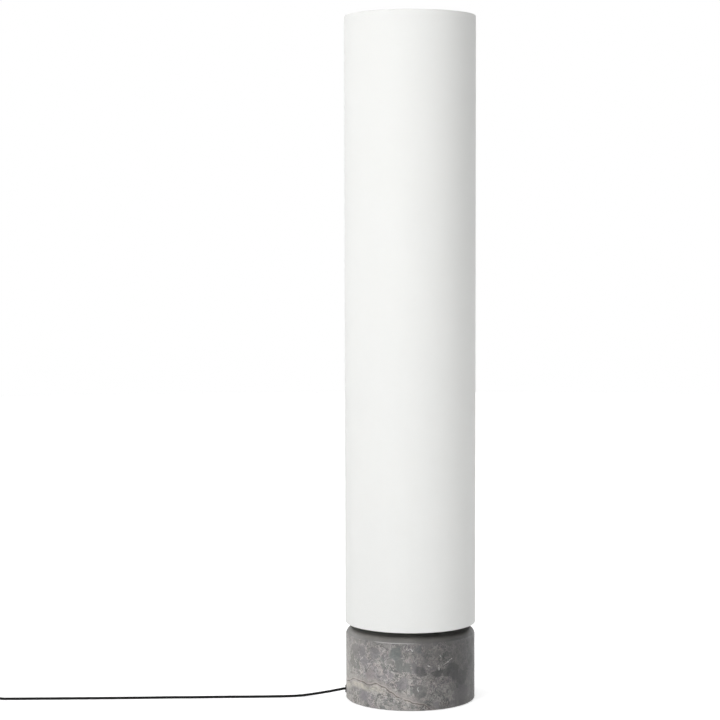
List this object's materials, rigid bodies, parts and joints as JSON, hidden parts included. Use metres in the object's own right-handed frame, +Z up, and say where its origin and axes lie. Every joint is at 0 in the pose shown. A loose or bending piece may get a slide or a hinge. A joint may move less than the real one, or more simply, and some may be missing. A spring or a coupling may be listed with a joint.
{
  "type": "column floor lamp",
  "caption": "Free-standing column lamp: tall cylindrical white canvas shade over a round veined grey marble foot, lampholders on an inner stem, cord with foot switch and plug.",
  "frame": {"origin": "on the floor, at the middle of the round foot", "axes": "+Z up along the lamp's axis, -Y towards the picture's viewer, -X to the side that the cord leaves"},
  "size_m": [1.0771, 0.23, 1.2],
  "materials": {
    "stone": "honed grey marble with pale and dark veins",
    "canvas": "fine white canvas, matt",
    "lining": "translucent white laminate",
    "felt": "dark grey felt",
    "white_metal": "white powder coat",
    "bright_steel": "nickel plated",
    "zinc_steel": "zinc plated",
    "brass": "plain brass",
    "white_plastic": "moulded, satin",
    "black_plastic": "moulded, fine grain",
    "black_gloss": "moulded, satin",
    "black_rubber": "matt",
    "black_cord": "matt black sheath",
    "lead_insulation": "silicone sheath",
    "tie_strap": "woven black strap",
    "opal_glass": "opal"
  },
  "bodies": {
    "base": {"stone_base": "stone", "foot_pad": "felt", "cover_plate": "zinc_steel", "side_outlet": "black_rubber", "inner_cord": "black_cord", "cord_anchor": "black_plastic", "anchor_screws": "zinc_steel", "terminal_block": "white_plastic", "threaded_rod": "zinc_steel", "clamp_washer": "zinc_steel", "lock_washer": "zinc_steel", "hex_nut": "zinc_steel", "foot_plate": "white_metal", "stem_insert": "zinc_steel", "stem": "white_metal", "stem_top_plug": "bright_steel", "lead_grommets": "black_rubber", "lower_spider": "white_metal", "spider_tips": "black_rubber", "spider_screw": "zinc_steel", "lower_bracket": "white_metal", "upper_bracket": "white_metal", "bracket_screws": "zinc_steel", "holder_nipples": "zinc_steel", "holder_nuts": "brass", "lower_lampholder": "white_plastic", "upper_lampholder": "white_plastic", "screw_shells": "brass", "lower_lead": "lead_insulation", "upper_lead": "lead_insulation", "lower_bulb_cap": "bright_steel", "lower_bulb_glass": "opal_glass", "upper_bulb_cap": "bright_steel", "upper_bulb_glass": "opal_glass", "cord_run": "black_cord", "cord_link": "black_cord", "cord_coil": "black_cord", "cord_tail": "black_cord", "cord_tie": "tie_strap", "switch_base": "black_plastic", "switch_cover": "black_plastic", "switch_mechanism": "white_plastic", "switch_screws": "zinc_steel", "switch_pad": "black_rubber", "switch_sleeves": "black_rubber", "plug_body": "black_plastic", "plug_sleeve": "black_rubber", "plug_pins": "bright_steel"},
    "shade": {"shade_canvas": "canvas", "shade_lining": "lining", "top_frame": "white_metal", "bottom_ring": "white_metal"},
    "finial": {"thumb_screw": "bright_steel"},
    "button": {"switch_button": "black_gloss"}
  },
  "joints": [
    {"name": "shade_lift", "type": "slide", "parent": "base", "child": "shade", "axis": [0, 0, 1], "range_m": [0, 1.06]},
    {"name": "thumb_screw_turn", "type": "hinge", "parent": "shade", "child": "finial", "pos_m": [0, 0, 1.189], "axis": [0, 0, 1], "range_deg": [0, 1440]},
    {"name": "button_press", "type": "slide", "parent": "base", "child": "button", "axis": [0, 0, -1], "range_m": [0, 0.0025], "stiffness_N_per_m": 900, "springref_m": -0.001}
  ]
}
